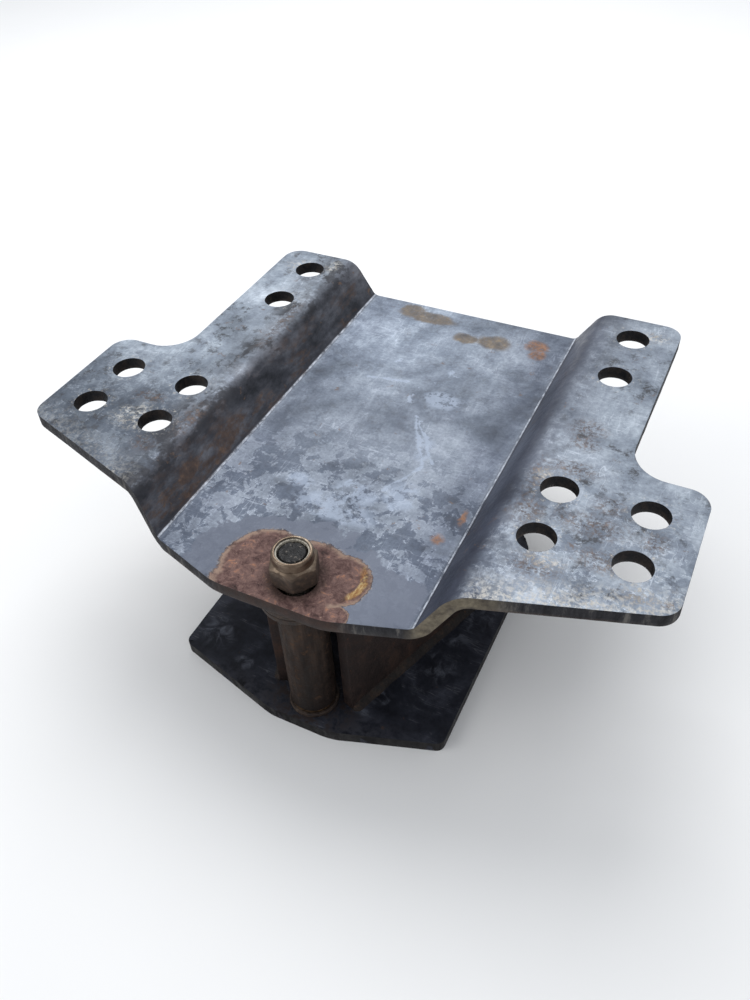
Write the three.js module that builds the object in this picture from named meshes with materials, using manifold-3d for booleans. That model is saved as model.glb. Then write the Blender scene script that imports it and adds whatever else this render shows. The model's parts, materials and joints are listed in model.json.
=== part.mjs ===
// Wedge plate of a fifth wheel hitch: a bent top plate that bolts under a pin box, a flat
// skid plate under it, two webs that stand in a V between them, and a roller that turns on
// a through bolt at the tip of the V.
//
// Millimetres. +X is to the right, -Y towards the nose, +Z up. The origin lies under the
// middle of the top plate, on the underside of the skid plate.

import * as THREE from "three";
import { mergeVertices } from "three/addons/utils/BufferGeometryUtils.js";
import Module from "manifold-3d";

const wasm = await Module();
wasm.setup();

// ---------------------------------------------------------------- driving dimensions

const fitGap = 0.3; // left between two pieces that touch
const overshoot = 1; // a cutter runs this far past the face it opens

// top plate, cut as a flat blank and then bent
const topLength = 343; // nose to rear edge
const topThickness = 9.5;
const panelHalfWidth = 91.5; // centre line to the foot of the riser, before its radius
const riserDrop = 29; // flange top to panel top
const riserAngle = THREE.MathUtils.degToRad(57);
const lowerBendInside = 6; // radius on the top side of the lower bend
const upperBendOutside = 18; // radius on the top side of the upper bend
const noseHalfWidth = 38.2;
const blankSlope = 0.31; // how fast the front edge of the blank runs back
const noseRadius = 50;

// flanges and their holes, each chained outwards from the end of the upper bend
const columnSetback = 19.5; // upper bend to the inner holes
const columnPitch = 57.3; // inner holes to outer holes
const lobeEdge = 31.6; // outer holes to the edge of the lobe
const rearColumnSetback = 20.4; // upper bend to the pair of rear holes
const shoulderEdge = 32.7; // rear holes to the edge of the narrow flange
const holeRadius = 12.15;
const frontRow = 89.5; // nose to the front row of holes
const rowPitch = 45;
const lobeEnd = 32.5; // rear row of the lobe to the lobe's rear edge
const rearHoleEdge = 27.6; // rear edge to the last hole
const rearHolePitch = 51.9;
const lobeFrontRadius = 14;
const lobeRearRadius = 15;
const neckRadius = 26; // inside corner where the lobe meets the narrow flange
const shoulderRadius = 14;

// skid plate
const skidThickness = 9.5;
const skidHalfWidth = 107.5;
const skidLength = 257;
const skidNoseSetback = 3.5; // behind the nose of the top plate
const skidNoseShift = 6.4; // nose to the right of the centre line
const skidNoseHalfWidth = 24.4;
const skidCornerSetback = 24.5; // front corners behind the nose
const skidCornerRadius = 7;
const skidRearRadius = 58;

// wedge: the bolt's axis and the two webs
const clearHeight = 124.5; // top of the skid plate to the underside of the panel
const wedgeShift = 8; // bolt to the right of the centre line
const boltFromNose = 25.4;
const webAngle = THREE.MathUtils.degToRad(18.9); // each web to the fore-and-aft line
const webThickness = 9;
const webStart = 11; // bolt axis to the front end, measured along the web
const webInset = 20; // side of the skid plate to the rear end of the right web, at least
const webToBend = 0.74; // end of the flat panel to the same end, at least
const webToRoller = 2.8; // inner face of the web to the roller, across the web
const reliefClearance = 1; // round the upper washers where they pass the webs
const beadLeg = 4.5;
const beadCrown = 0.58; // middle of a bead's face from the corner, as a share of its leg
const innerBeadDelay = 18; // the inner beads start this far behind the web's front end

// through bolt, and the countersunk head that fills the skid plate's thickness
const boltRadius = 9.5;
const boltChamfer = 1.6;
const boltEndRecess = 1.6; // below the top of the nut
const headHalfAngle = THREE.MathUtils.degToRad(41);
const headRim = 0.8; // straight rim of the head
const headRecess = 0.6; // below the skid face
const headLand = 0.05; // straight bore left above the cone
const keyWall = 3.15; // flat of the key hole to the outside of the shank
const keyDepth = 5.5;

// lock nut and its insert, chained outwards from the bolt
const nutWall = 4.8; // shank to a flat of the nut
const nutHexHeight = 16;
const nutHeight = 22.8;
const nutTurn = THREE.MathUtils.degToRad(-96); // one flat faces this way
const nutMouth = 1; // chamfer round both ends of the bore
const insertWidth = 2.1;
const insertHeight = 4.4;
const insertLip = 1; // collar metal above the insert
const collarWall = 1; // collar metal round the insert
const collarRound = 1.7;

// holes round the bolt, and washers
const topHoleSlack = 3.9; // a loose hole, wider than the bolt by this all round
const topHoleGap = 0.48; // left where the bolt sits against one side of it
const topHoleLean = THREE.MathUtils.degToRad(-52.1); // from the bolt to the hole's centre
const washerClearance = 0.8; // bore of a washer over the bolt
const upperWasherRadius = 25.2;
const upperWasherThickness = 4;
const lowerWasherLip = 1.4; // beyond the roller
const lowerWasherThickness = 3.4;

// roller, chained outwards from the bolt
const bushClearance = 0.35; // bore of the bush over the bolt
const bushWall = 2.45;
const bushLength = 26;
const bushFlange = 2;
const rollerWall = 4;

// facets
const roundSteps = 48;
const holeSteps = 36;
const cornerSteps = 5;

// ---------------------------------------------------------------- derived levels and places

const skidTop = skidThickness;
const panelBottom = skidTop + clearHeight;
const panelTop = panelBottom + topThickness;
const flangeTop = panelTop + riserDrop;

const noseY = -topLength / 2;
const rearY = topLength / 2;
const boltX = wedgeShift;
const boltY = noseY + boltFromNose;

const bendReach = Math.tan(riserAngle / 2); // tangent length of a bend, per unit of radius
const riserRun = riserDrop / Math.tan(riserAngle);
const panelFlatEnd = panelHalfWidth - lowerBendInside * bendReach;
const flangeStart = panelHalfWidth + riserRun + upperBendOutside * bendReach;

const innerColumn = flangeStart + columnSetback;
const outerColumn = innerColumn + columnPitch;
const lobeHalfWidth = outerColumn + lobeEdge;
const rearColumn = flangeStart + rearColumnSetback;
const shoulderHalfWidth = rearColumn + shoulderEdge;
const lobeRearY = noseY + frontRow + rowPitch + lobeEnd;

const headDepth = skidThickness - headRecess - headRim - headLand;
const headRadius = boltRadius + headDepth * Math.tan(headHalfAngle);
const keyAcrossFlats = 2 * (boltRadius - keyWall);
const nutAcrossFlats = 2 * (boltRadius + nutWall);
const insertOuterRadius = boltRadius + fitGap + insertWidth;
const nutCollarRadius = insertOuterRadius + fitGap + collarWall;
const topHoleRadius = boltRadius + topHoleSlack;
const topHoleX = boltX + (topHoleSlack - topHoleGap) * Math.cos(topHoleLean);
const topHoleY = boltY + (topHoleSlack - topHoleGap) * Math.sin(topHoleLean);
const washerHoleRadius = boltRadius + washerClearance;
const rollerBore = boltRadius + bushClearance + bushWall + fitGap;
const rollerRadius = rollerBore + rollerWall;
const lowerWasherRadius = rollerRadius + lowerWasherLip;

const nutTop = panelTop + fitGap + nutHeight;
const boltTop = nutTop - boltEndRecess;

const webInner = rollerRadius + webToRoller;
const webOuter = webInner + webThickness;
// the webs stand on the skid plate and under the flat of the panel, whichever is narrower
const webSeat = Math.min(skidHalfWidth - webInset, panelFlatEnd - webToBend);
const webReach = webSeat - boltX - webOuter * Math.cos(webAngle);
const webLength = webReach / Math.sin(webAngle) - webStart;

// ---------------------------------------------------------------- helpers

function toSolid(geometry) {
  const bare = geometry.clone();
  bare.deleteAttribute("normal");
  bare.deleteAttribute("uv");
  const merged = mergeVertices(bare, 1e-4);
  return new wasm.Manifold(new wasm.Mesh({
    numProp: 3,
    vertProperties: new Float32Array(merged.attributes.position.array),
    triVerts: new Uint32Array(merged.index.array),
  }));
}

function toGeometry(solid) {
  const mesh = solid.getMesh();
  const geometry = new THREE.BufferGeometry();
  geometry.setAttribute("position", new THREE.BufferAttribute(mesh.vertProperties, 3));
  geometry.setIndex(new THREE.BufferAttribute(mesh.triVerts, 1));
  geometry.computeVertexNormals();
  return geometry;
}

// A closed outline from corners given as [x, y, radius], anticlockwise.
function roundedShape(corners) {
  const shape = new THREE.Shape();
  corners.forEach(([x, y, radius], i) => {
    const [beforeX, beforeY] = corners[(i + corners.length - 1) % corners.length];
    const [afterX, afterY] = corners[(i + 1) % corners.length];
    const corner = new THREE.Vector2(x, y);
    const into = corner.clone().sub(new THREE.Vector2(beforeX, beforeY)).normalize();
    const out = new THREE.Vector2(afterX, afterY).sub(corner).normalize();
    const turn = into.cross(out);
    const tangent = radius * Math.tan(Math.acos(into.dot(out)) / 2);
    const start = corner.clone().addScaledVector(into, -tangent);
    if (i === 0) shape.moveTo(start.x, start.y);
    else shape.lineTo(start.x, start.y);
    if (radius === 0) return;
    const side = Math.sign(turn);
    const centre = start.clone().add(new THREE.Vector2(-into.y, into.x).multiplyScalar(side * radius));
    const from = Math.atan2(start.y - centre.y, start.x - centre.x);
    const to = from + side * Math.acos(into.dot(out));
    shape.absarc(centre.x, centre.y, radius, from, to, side < 0);
  });
  shape.closePath();
  return shape;
}

// An outline in plan, standing from one level to another.
function prism(shape, bottom, top, steps = cornerSteps) {
  const geometry = new THREE.ExtrudeGeometry(shape, {
    depth: top - bottom,
    bevelEnabled: false,
    curveSegments: steps,
  });
  return geometry.translate(0, 0, bottom);
}

function rod(radius, bottom, top, x = 0, y = 0, steps = holeSteps) {
  const geometry = new THREE.CylinderGeometry(radius, radius, top - bottom, steps);
  return geometry.rotateX(Math.PI / 2).translate(x, y, (bottom + top) / 2);
}

// A turned piece about the vertical axis, from [radius, height] points.
function turned(profile) {
  const points = profile.map(([radius, height]) => new THREE.Vector2(radius, height));
  return new THREE.LatheGeometry(points, roundSteps).rotateX(Math.PI / 2);
}

function ring(inner, outer, bottom, top) {
  return turned([[inner, bottom], [outer, bottom], [outer, top], [inner, top], [inner, bottom]]);
}

function hexagon(acrossFlats, turn) {
  const radius = acrossFlats / Math.sqrt(3);
  const corners = [0, 1, 2, 3, 4, 5].map((i) => {
    const angle = turn + (i + 0.5) * Math.PI / 3;
    return [radius * Math.cos(angle), radius * Math.sin(angle), 0];
  });
  return roundedShape(corners);
}

function part(name, geometry, material) {
  const mesh = new THREE.Mesh(geometry, material);
  mesh.name = name;
  return mesh;
}

function steel(color, roughness, metalness) {
  return new THREE.MeshStandardMaterial({ color, roughness, metalness });
}

// ---------------------------------------------------------------- top plate

// Half of the bent section, right of the centre line, offset down by a given depth.
// Both sides of a bend share its centre, so the plate keeps its thickness.
function sectionSide(depth) {
  const lowerRadius = lowerBendInside + depth;
  const upperRadius = upperBendOutside - depth;
  const lowerCentre = new THREE.Vector2(panelFlatEnd, panelTop + lowerBendInside);
  const upperCentre = new THREE.Vector2(flangeStart, flangeTop - upperBendOutside);
  const points = [];
  const steps = 2 * cornerSteps;
  for (let i = 0; i <= steps; i++) {
    const angle = -Math.PI / 2 + riserAngle * i / steps;
    points.push([
      lowerCentre.x + lowerRadius * Math.cos(angle),
      lowerCentre.y + lowerRadius * Math.sin(angle),
    ]);
  }
  for (let i = 0; i <= steps; i++) {
    const angle = Math.PI / 2 + riserAngle * (1 - i / steps);
    points.push([
      upperCentre.x + upperRadius * Math.cos(angle),
      upperCentre.y + upperRadius * Math.sin(angle),
    ]);
  }
  points.push([lobeHalfWidth + topThickness, flangeTop - depth]);
  return points;
}

function bentSection() {
  const mirrored = (points) => points.map(([x, z]) => [-x, z]).reverse();
  const under = sectionSide(topThickness);
  const over = sectionSide(0);
  const outline = [...mirrored(under), ...under, ...[...mirrored(over), ...over].reverse()];
  const shape = new THREE.Shape(outline.map(([x, z]) => new THREE.Vector2(x, z)));
  const geometry = new THREE.ExtrudeGeometry(shape, { depth: 2 * topLength, bevelEnabled: false });
  return geometry.rotateX(Math.PI / 2).translate(0, topLength, 0);
}

// The straight front edge of the blank, where it lies after bending.
function frontEdge() {
  const bends = (lowerBendInside + upperBendOutside) * riserAngle;
  const bendHeights = (lowerBendInside + upperBendOutside) * (1 - Math.cos(riserAngle));
  const riserLength = bends + (riserDrop - bendHeights) / Math.sin(riserAngle);
  const panelEndY = noseY + blankSlope * (panelFlatEnd - noseHalfWidth);
  const flangeStartY = panelEndY + blankSlope * riserLength;
  const lobeY = flangeStartY + blankSlope * (lobeHalfWidth - flangeStart);
  return { panelEndY, flangeStartY, lobeY };
}

function topOutline() {
  const { panelEndY, flangeStartY, lobeY } = frontEdge();
  const right = [
    [noseHalfWidth, noseY, noseRadius],
    [panelFlatEnd, panelEndY, 0],
    [flangeStart, flangeStartY, 0],
    [lobeHalfWidth, lobeY, lobeFrontRadius],
    [lobeHalfWidth, lobeRearY, lobeRearRadius],
    [shoulderHalfWidth, lobeRearY, neckRadius],
    [shoulderHalfWidth, rearY, shoulderRadius],
  ];
  const left = right.map(([x, y, radius]) => [-x, y, radius]).reverse();
  return roundedShape([...right, ...left]);
}

function flangeHoles() {
  const rows = [noseY + frontRow, noseY + frontRow + rowPitch];
  const rearRows = [rearY - rearHoleEdge, rearY - rearHoleEdge - rearHolePitch];
  const places = [];
  for (const side of [-1, 1]) {
    for (const y of rows) {
      places.push([side * innerColumn, y]);
      places.push([side * outerColumn, y]);
    }
    for (const y of rearRows) places.push([side * rearColumn, y]);
  }
  return places;
}

function topPlate() {
  let plate = toSolid(bentSection());
  plate = plate.intersect(toSolid(prism(topOutline(), skidTop, flangeTop + topThickness)));
  for (const [x, y] of flangeHoles()) {
    plate = plate.subtract(toSolid(rod(holeRadius, panelBottom, flangeTop + topThickness, x, y)));
  }
  const boltHole = rod(topHoleRadius, skidTop, flangeTop, topHoleX, topHoleY);
  return toGeometry(plate.subtract(toSolid(boltHole)));
}

// ---------------------------------------------------------------- skid plate

function skidOutline() {
  const front = noseY + skidNoseSetback;
  const rear = front + skidLength;
  const corner = front + skidCornerSetback;
  return roundedShape([
    [skidNoseShift - skidNoseHalfWidth, front, noseRadius],
    [skidNoseShift + skidNoseHalfWidth, front, noseRadius],
    [skidHalfWidth, corner, skidCornerRadius],
    [skidHalfWidth, rear, skidRearRadius],
    [-skidHalfWidth, rear, skidRearRadius],
    [-skidHalfWidth, corner, skidCornerRadius],
  ]);
}

// The countersink follows the bolt's head, one gap away from it.
function skidPlate() {
  const coneGap = fitGap / Math.cos(headHalfAngle);
  const coneBottom = headRecess + headRim;
  const sink = turned([
    [0, -overshoot],
    [headRadius + coneGap, -overshoot],
    [headRadius + coneGap, coneBottom],
    [boltRadius + coneGap, coneBottom + headDepth],
    [boltRadius + coneGap, skidTop + overshoot],
    [0, skidTop + overshoot],
  ]).translate(boltX, boltY, 0);
  return toGeometry(toSolid(prism(skidOutline(), 0, skidTop)).subtract(toSolid(sink)));
}

// ---------------------------------------------------------------- webs and weld beads

// These are drawn along +Y from the bolt's axis and turned into the V by their group.
function web(side) {
  const bottom = skidTop + fitGap;
  const top = panelBottom - fitGap;
  const plate = new THREE.BoxGeometry(webThickness, webLength, top - bottom);
  plate.translate(side * (webInner + webThickness / 2), webStart + webLength / 2, (bottom + top) / 2);
  const reliefBottom = panelBottom - 3 * fitGap - 2 * upperWasherThickness - reliefClearance;
  const reliefRadius = upperWasherRadius + reliefClearance;
  const relief = rod(reliefRadius, reliefBottom, panelBottom + overshoot, 0, 0, roundSteps);
  return toGeometry(toSolid(plate).subtract(toSolid(relief)));
}

// A fillet bead in the corner between a web face and a plate: its section has two straight
// legs and a slightly crowned face.
function bead(side, outer, upper) {
  const face = outer ? webOuter + fitGap : webInner - fitGap;
  const away = side * (outer ? 1 : -1);
  const level = upper ? panelBottom - fitGap : skidTop + fitGap;
  const rise = upper ? -1 : 1;
  const crown = beadLeg * beadCrown;
  const section = new THREE.Shape([
    new THREE.Vector2(0, 0),
    new THREE.Vector2(beadLeg, 0),
    new THREE.Vector2(crown, crown),
    new THREE.Vector2(0, beadLeg),
  ]);
  const delay = outer ? 0 : innerBeadDelay;
  const length = webLength - delay;
  const geometry = new THREE.ExtrudeGeometry(section, { depth: length, bevelEnabled: false });
  // section x goes away from the web, section y away from the plate, depth along the web
  const placed = geometry.applyMatrix4(new THREE.Matrix4().set(
    away, 0, 0, side * face,
    0, 0, 1, webStart + delay,
    0, rise, 0, level,
    0, 0, 0, 1,
  ));
  if (away * rise > 0) flipFaces(placed);
  return placed;
}

// Turns every triangle over, for a placement that mirrors the solid.
function flipFaces(geometry) {
  const position = geometry.attributes.position;
  const corner = new THREE.Vector3();
  const other = new THREE.Vector3();
  for (let i = 0; i < position.count; i += 3) {
    corner.fromBufferAttribute(position, i + 1);
    other.fromBufferAttribute(position, i + 2);
    position.setXYZ(i + 1, other.x, other.y, other.z);
    position.setXYZ(i + 2, corner.x, corner.y, corner.z);
  }
  geometry.computeVertexNormals();
}

function vHalf(side, webSteel, beadSteel) {
  const label = side > 0 ? "right" : "left";
  const group = new THREE.Group();
  group.position.set(boltX, boltY, 0);
  group.rotation.z = -side * webAngle;
  group.add(part(`${label}_web`, web(side), webSteel));
  for (const outer of [true, false]) {
    for (const upper of [true, false]) {
      const name = `${label}_${outer ? "outer" : "inner"}_${upper ? "upper" : "lower"}_bead`;
      group.add(part(name, bead(side, outer, upper), beadSteel));
    }
  }
  return group;
}

// ---------------------------------------------------------------- bolt, nut and washers

// Countersunk head flush with the skid face, plain shank, chamfered end.
function throughBolt() {
  const coneBottom = headRecess + headRim;
  const blank = turned([
    [0, headRecess],
    [headRadius, headRecess],
    [headRadius, coneBottom],
    [boltRadius, coneBottom + headDepth],
    [boltRadius, boltTop - boltChamfer],
    [boltRadius - boltChamfer, boltTop],
    [0, boltTop],
  ]);
  const key = prism(hexagon(keyAcrossFlats, 0), headRecess - overshoot, headRecess + keyDepth);
  return toGeometry(toSolid(blank).subtract(toSolid(key)));
}

// Hexagon with chamfered corners under a round collar, which holds the insert.
function lockNut() {
  const bottom = panelTop + fitGap;
  const hexTop = bottom + nutHexHeight;
  const insertBottom = nutTop - insertLip - insertHeight - 2 * fitGap;
  const cornerRadius = nutAcrossFlats / Math.sqrt(3);
  const chamfer = cornerRadius - nutAcrossFlats / 2;
  const bore = boltRadius + fitGap;
  const hex = toSolid(prism(hexagon(nutAcrossFlats, nutTurn), bottom, hexTop));
  const chamferCone = toSolid(turned([
    [0, bottom],
    [cornerRadius - chamfer, bottom],
    [cornerRadius, bottom + chamfer / 2],
    [cornerRadius, hexTop - chamfer],
    [nutCollarRadius, hexTop],
    [0, hexTop],
  ]));
  const roundedTop = [];
  for (let i = 0; i <= cornerSteps; i++) {
    const angle = Math.PI / 2 * i / cornerSteps;
    roundedTop.push([
      nutCollarRadius - collarRound * (1 - Math.cos(angle)),
      nutTop - collarRound * (1 - Math.sin(angle)),
    ]);
  }
  const collar = toSolid(turned([
    [0, hexTop - chamfer],
    [nutCollarRadius, hexTop - chamfer],
    ...roundedTop,
    [0, nutTop],
  ]));
  const hollow = toSolid(turned([
    [0, bottom - overshoot],
    [bore + nutMouth, bottom - overshoot],
    [bore + nutMouth, bottom],
    [bore, bottom + nutMouth],
    [bore, insertBottom],
    [insertOuterRadius + fitGap, insertBottom],
    [insertOuterRadius + fitGap, nutTop - insertLip],
    [bore + nutMouth, nutTop - insertLip],
    [bore + nutMouth, nutTop + overshoot],
    [0, nutTop + overshoot],
  ]));
  return toGeometry(hex.intersect(chamferCone).add(collar).subtract(hollow));
}

function nylonInsert() {
  const top = nutTop - insertLip - fitGap;
  return ring(boltRadius + fitGap, insertOuterRadius, top - insertHeight, top);
}

function upperWasher(place) {
  const top = panelBottom - fitGap - place * (upperWasherThickness + fitGap);
  return ring(washerHoleRadius, upperWasherRadius, top - upperWasherThickness, top);
}

function lowerWasher() {
  const bottom = skidTop + fitGap;
  return ring(washerHoleRadius, lowerWasherRadius, bottom, bottom + lowerWasherThickness);
}

// ---------------------------------------------------------------- roller

const rollerStackBottom = skidTop + 2 * fitGap + lowerWasherThickness;
const rollerStackTop = panelBottom - 3 * fitGap - 2 * upperWasherThickness;

function rollerSleeve() {
  const bottom = rollerStackBottom + bushFlange + fitGap;
  const top = rollerStackTop - bushFlange - fitGap;
  return ring(rollerBore, rollerRadius, bottom, top);
}

// A flanged bush, drawn with its flange at level 0 and its barrel above it.
function bush() {
  const bore = boltRadius + bushClearance;
  const barrel = rollerBore - fitGap;
  return turned([
    [bore, 0],
    [rollerRadius - fitGap, 0],
    [rollerRadius - fitGap, bushFlange],
    [barrel, bushFlange],
    [barrel, bushLength],
    [bore, bushLength],
    [bore, 0],
  ]);
}

function roller(sleeveSteel, bushBronze) {
  const group = new THREE.Group();
  const upper = part("upper_bush", bush(), bushBronze);
  upper.position.z = rollerStackTop;
  upper.rotation.x = Math.PI;
  const lower = part("lower_bush", bush(), bushBronze);
  lower.position.z = rollerStackBottom;
  group.add(part("roller_sleeve", rollerSleeve(), sleeveSteel), upper, lower);
  return group;
}

// ---------------------------------------------------------------- assembly

const millSteel = steel(0x6f7680, 0.55, 0.6);
const darkSteel = steel(0x2b2e34, 0.6, 0.5);
const rustySteel = steel(0x4a3a34, 0.85, 0.3);
const beadMetal = steel(0x3e3833, 0.8, 0.4);
const boltMetal = steel(0x3a3a3a, 0.5, 0.8);
const nutMetal = steel(0x7d6f55, 0.45, 0.7);
const washerMetal = steel(0x8a7f73, 0.6, 0.6);
const bronze = steel(0x8f6b3f, 0.45, 0.8);
const nylon = steel(0xc9c4b4, 0.5, 0);

const pin = new THREE.Group();
pin.position.set(boltX, boltY, 0);
pin.add(
  part("through_bolt", throughBolt(), boltMetal),
  part("lock_nut", lockNut(), nutMetal),
  part("nylon_insert", nylonInsert(), nylon),
  part("upper_washer_1", upperWasher(0), washerMetal),
  part("upper_washer_2", upperWasher(1), washerMetal),
  part("lower_washer", lowerWasher(), washerMetal),
  roller(rustySteel, bronze),
);

const hitch = new THREE.Group();
hitch.add(
  part("top_plate", topPlate(), millSteel),
  part("skid_plate", skidPlate(), darkSteel),
  vHalf(1, rustySteel, beadMetal),
  vHalf(-1, rustySteel, beadMetal),
  pin,
);

export default hitch;
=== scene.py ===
# Looks for the wedge plate of a fifth wheel hitch: bent and worn steel plates, rusted webs
# with weld beads, and a roller on a bolt under a lock nut. Metres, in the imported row's frame.

import json
import math
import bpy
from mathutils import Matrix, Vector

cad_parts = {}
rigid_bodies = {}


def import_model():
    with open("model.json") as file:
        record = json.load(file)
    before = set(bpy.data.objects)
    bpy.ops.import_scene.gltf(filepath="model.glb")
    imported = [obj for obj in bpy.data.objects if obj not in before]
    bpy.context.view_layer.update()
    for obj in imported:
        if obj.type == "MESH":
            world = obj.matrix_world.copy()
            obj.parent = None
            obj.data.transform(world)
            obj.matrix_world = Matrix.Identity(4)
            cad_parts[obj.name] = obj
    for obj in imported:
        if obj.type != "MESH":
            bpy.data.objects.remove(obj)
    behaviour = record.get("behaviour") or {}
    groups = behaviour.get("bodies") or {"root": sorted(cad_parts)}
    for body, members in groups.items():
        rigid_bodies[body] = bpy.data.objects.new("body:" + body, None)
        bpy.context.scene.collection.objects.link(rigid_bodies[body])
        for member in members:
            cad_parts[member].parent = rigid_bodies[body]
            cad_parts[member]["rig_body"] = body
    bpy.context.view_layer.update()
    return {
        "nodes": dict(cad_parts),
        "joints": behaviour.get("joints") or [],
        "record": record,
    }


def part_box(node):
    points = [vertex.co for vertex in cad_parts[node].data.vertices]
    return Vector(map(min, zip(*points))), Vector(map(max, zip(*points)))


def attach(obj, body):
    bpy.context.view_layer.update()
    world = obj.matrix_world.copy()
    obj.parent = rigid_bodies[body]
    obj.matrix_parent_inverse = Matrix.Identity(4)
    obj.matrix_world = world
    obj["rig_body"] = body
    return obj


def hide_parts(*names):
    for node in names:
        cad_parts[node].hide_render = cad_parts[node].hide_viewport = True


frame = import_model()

from types import SimpleNamespace

import bmesh
import bpy
from mathutils import Matrix, Vector, noise

NODES = frame["nodes"]
MM = 0.001

# ---------------- places, from the frame

BOLT = Vector(frame["joints"][0]["pos_m"])
HOLES = [
    sum((Vector(corner) for corner in opening["box_m"]), Vector()) / 2
    for opening in frame["record"]["physics"]["openings"]
    if opening["name"].startswith("left") and opening["name"].endswith("hole")
]
GAP = 0.3 * MM  # between two CAD solids that touch
NUT_LOW, NUT_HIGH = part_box("lock_nut")
BOLT_LOW, BOLT_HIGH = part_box("through_bolt")
PANEL_TOP = NUT_LOW.z - GAP
NOSE_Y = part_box("top_plate")[0].y

# ---------------- sizes

HOLE_RADIUS = 12.15 * MM
FOLD_X = 91.2 * MM  # centre line to the crease at the foot of each riser
NOSE_HALF_WIDTH = 38.2 * MM
BLANK_SLOPE = 0.31  # how fast the front edge runs back

BOLT_RADIUS = 9.5 * MM
THREAD_PITCH = 2.54 * MM
THREAD_DEPTH = 1.25 * MM
THREAD_LENGTH = 34 * MM
THREAD_CUTS = 8  # rows of points in one pitch
CREST_SHARE = 1.15  # over 1 leaves a flat on each crest
THREAD_SLACK = 0.05 * MM
SHANK_ROWS = 12
END_CHAMFER = 1.3 * MM
END_INSET = 1.4 * MM
END_DROP = 0.25 * MM
END_RINGS = 9
KEY_FLATS = 12.7 * MM
KEY_DEPTH = 5.5 * MM
KEY_CHAMFER = 0.4 * MM
HEAD_RADIUS = 16.5 * MM
HEAD_RIM = 0.8 * MM
HEAD_EDGE = 0.3 * MM
HEAD_DEPTH = 8.05 * MM

NUT_FLATS = 28.6 * MM
NUT_HEX_HEIGHT = 16 * MM
NUT_TURN = math.radians(-96)
NUT_COLLAR_RADIUS = 13.2 * MM
NUT_COLLAR_ROUND = 1.7 * MM
NUT_MOUTH_RADIUS = 10.8 * MM
NUT_MOUTH_DEPTH = 1 * MM
NUT_GROOVE_DEPTH = 6 * MM
NUT_GROOVE_WIDTH = 2.1 * MM
NUT_CHAMFER_SLOPE = 1.9
NUT_SHOULDER_SLOPE = 1.5
NUT_EDGE = 1 * MM
NUT_HEX_ROWS = 32
NUT_ROUND_ROWS = 6

WASHER_SLACK = 0.8 * MM
BUSH_SLACK = 0.35 * MM
BUSH_FLANGE = 2 * MM
SLEEVE_BORE = 12.6 * MM

SPUN_STEPS = 120
ARC_STEPS = 4
SMOOTH_ANGLE = math.radians(32)
ARRIS_ANGLE = math.radians(30)  # edges sharper than this are rounded
ARRIS_STEPS = 3
FLAT_ANGLE = math.radians(0.4)
JOIN_DISTANCE = 0.002 * MM
CUT_DISTANCE = 0.01 * MM
LEVEL_NORMAL = 0.8


# ---------------- mesh helpers


def roughen(bm, amount, size, keep=None):
    """Moves each vertex along its normal by soft noise, unless keep says to leave it."""
    bm.normal_update()
    for vert in bm.verts:
        if keep is not None and keep(vert):
            continue
        vert.co += vert.normal * amount * noise.noise(vert.co / size)


def on_level_face(vert):
    return abs(vert.normal.z) > LEVEL_NORMAL


def add_piece(bm, name, node, material):
    """Turns a mesh into a piece that stands for a CAD node and rides on its body."""
    bmesh.ops.recalc_face_normals(bm, faces=bm.faces)
    mesh = bpy.data.meshes.new(name)
    bm.to_mesh(mesh)
    bm.free()
    mesh.shade_smooth()
    mesh.set_sharp_from_angle(angle=SMOOTH_ANGLE)
    piece = bpy.data.objects.new(name, mesh)
    bpy.context.scene.collection.objects.link(piece)
    mesh.materials.append(material)
    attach(piece, NODES[node]["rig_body"])
    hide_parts(node)
    return piece


def softened(node, rounding, cell):
    """A copy of a CAD solid with rounded arrises, cut into cells fine enough to roughen."""
    bm = bmesh.new()
    bm.from_mesh(NODES[node].data)
    bmesh.ops.remove_doubles(bm, verts=bm.verts, dist=JOIN_DISTANCE)
    bmesh.ops.dissolve_limit(bm, angle_limit=FLAT_ANGLE, verts=bm.verts, edges=bm.edges)
    sharp = [e for e in bm.edges if e.is_manifold and e.calc_face_angle() > ARRIS_ANGLE]
    bmesh.ops.bevel(
        bm, geom=sharp, offset=rounding, segments=ARRIS_STEPS, profile=0.5, affect="EDGES",
        clamp_overlap=True,
    )
    low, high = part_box(node)
    for axis in range(3):
        count = max(1, round((high[axis] - low[axis]) / cell))
        normal = Vector((axis == 0, axis == 1, axis == 2))
        for i in range(1, count):
            place = low + normal * (high[axis] - low[axis]) * i / count
            everything = bm.verts[:] + bm.edges[:] + bm.faces[:]
            bmesh.ops.bisect_plane(bm, geom=everything, plane_co=place, plane_no=normal, dist=CUT_DISTANCE)
    big = [f for f in bm.faces if len(f.verts) > 4]
    bmesh.ops.triangulate(bm, faces=big)
    return bm


def rounded(points, radius, spacing):
    """A closed section with its corners rounded and its long sides divided."""
    section = []
    for i, corner in enumerate(points):
        before = points[i - 1]
        after = points[(i + 1) % len(points)]
        start = corner + (before - corner).normalized() * radius
        end = corner + (after - corner).normalized() * radius
        for k in range(ARC_STEPS + 1):
            t = k / ARC_STEPS
            section.append((1 - t) ** 2 * start + 2 * t * (1 - t) * corner + t * t * end)
        following = after + (corner - after).normalized() * radius
        count = max(1, round((following - end).length / spacing))
        for k in range(1, count):
            section.append(end.lerp(following, k / count))
    return section


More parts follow.
